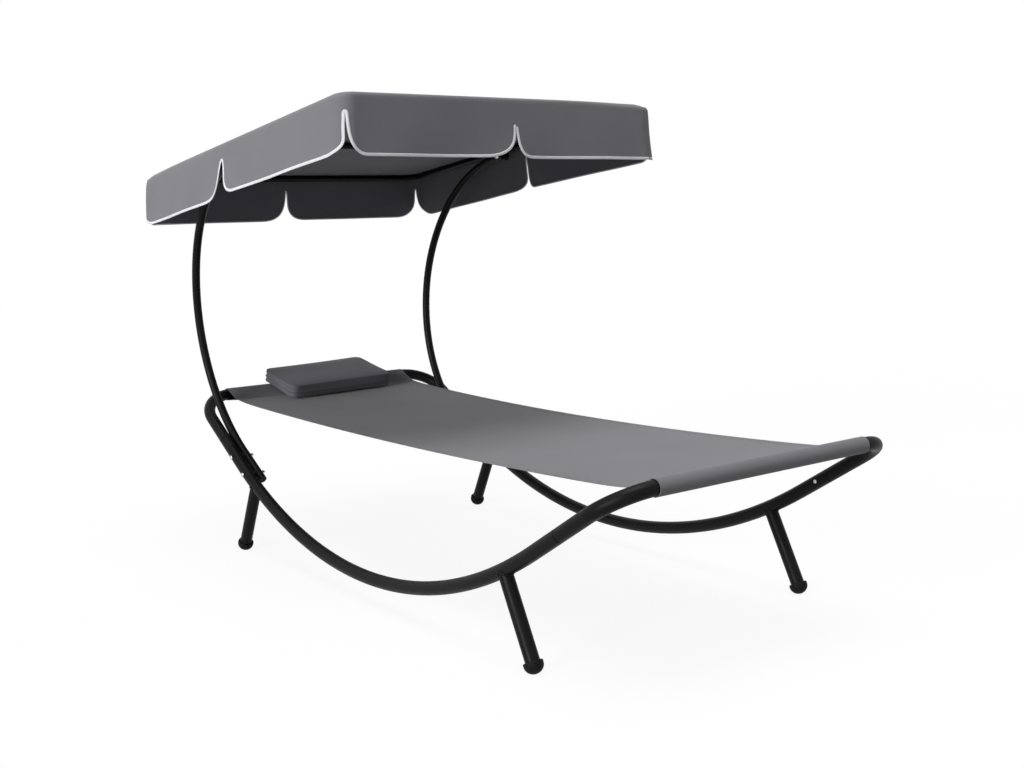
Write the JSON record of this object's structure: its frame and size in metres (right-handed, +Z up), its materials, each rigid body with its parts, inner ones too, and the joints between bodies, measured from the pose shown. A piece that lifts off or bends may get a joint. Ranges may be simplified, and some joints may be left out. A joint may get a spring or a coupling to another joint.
{
  "type": "sun lounger",
  "caption": "Sun lounger on curved steel tube rails with a hung fabric sling, a loose head pillow and a tilting fabric canopy on two bent posts.",
  "frame": {"origin": "on the floor, in the middle of the lounger's footprint", "axes": "+Y along the lounger from the foot end to the head end, +X across it, +Z up"},
  "size_m": [1.052, 2.169, 1.305],
  "materials": {
    "frame_steel": "black satin powder coat",
    "zinc_hardware": "bright zinc plate",
    "plug_plastic": "black moulded plastic",
    "foot_rubber": "black moulded rubber",
    "cover_cloth": "grey woven polyester with pale bound edges",
    "sling_cloth": "grey coated mesh weave",
    "pillow_cloth": "dark grey coated mesh weave with piped seams"
  },
  "bodies": {
    "lounger_frame": {"left_rail": "frame_steel", "right_rail": "frame_steel", "front_end_frame": "frame_steel", "rear_end_frame": "frame_steel", "front_left_leg": "frame_steel", "front_right_leg": "frame_steel", "rear_left_leg": "frame_steel", "rear_right_leg": "frame_steel", "front_left_foot": "foot_rubber", "front_right_foot": "foot_rubber", "rear_left_foot": "foot_rubber", "rear_right_foot": "foot_rubber", "left_canopy_post": "frame_steel", "right_canopy_post": "frame_steel", "left_post_bottom_plug": "plug_plastic", "right_post_bottom_plug": "plug_plastic", "left_post_top_plug": "plug_plastic", "right_post_top_plug": "plug_plastic", "left_post_lower_bolt": "zinc_hardware", "left_post_upper_bolt": "zinc_hardware", "right_post_lower_bolt": "zinc_hardware", "right_post_upper_bolt": "zinc_hardware", "left_post_lower_nut": "zinc_hardware", "left_post_upper_nut": "zinc_hardware", "right_post_lower_nut": "zinc_hardware", "right_post_upper_nut": "zinc_hardware", "left_post_lower_saddle": "plug_plastic", "left_post_upper_saddle": "plug_plastic", "right_post_lower_saddle": "plug_plastic", "right_post_upper_saddle": "plug_plastic", "front_left_joint_screw": "zinc_hardware", "front_right_joint_screw": "zinc_hardware", "left_pivot_spacer": "plug_plastic", "right_pivot_spacer": "plug_plastic", "left_pivot_bolt": "zinc_hardware", "right_pivot_bolt": "zinc_hardware", "sling": "sling_cloth"},
    "canopy": {"canopy_front_hoop": "frame_steel", "canopy_rear_hoop": "frame_steel", "canopy_crossbar": "frame_steel", "left_pivot_ear": "frame_steel", "right_pivot_ear": "frame_steel", "left_hoop_screw": "zinc_hardware", "right_hoop_screw": "zinc_hardware", "canopy_cover": "cover_cloth"},
    "pillow": {"pillow": "pillow_cloth"},
    "left_wing_nut": {"left_wing_nut": "zinc_hardware"},
    "right_wing_nut": {"right_wing_nut": "zinc_hardware"}
  },
  "joints": [
    {"name": "canopy_tilt", "type": "hinge", "parent": "lounger_frame", "child": "canopy", "pos_m": [0, 0.49387, 1.19072], "axis": [1, 0, 0], "range_deg": [-15, 25]},
    {"name": "pillow_lift", "type": "slide", "parent": "lounger_frame", "child": "pillow", "axis": [0, 0, 1], "range_m": [0, 0.12]},
    {"name": "left_wing_nut_turn", "type": "hinge", "parent": "lounger_frame", "child": "left_wing_nut", "pos_m": [-0.4504, 0.49387, 1.19072], "axis": [1, 0, 0], "continuous": true},
    {"name": "right_wing_nut_turn", "type": "hinge", "parent": "lounger_frame", "child": "right_wing_nut", "pos_m": [0.4504, 0.49387, 1.19072], "axis": [1, 0, 0], "continuous": true}
  ]
}
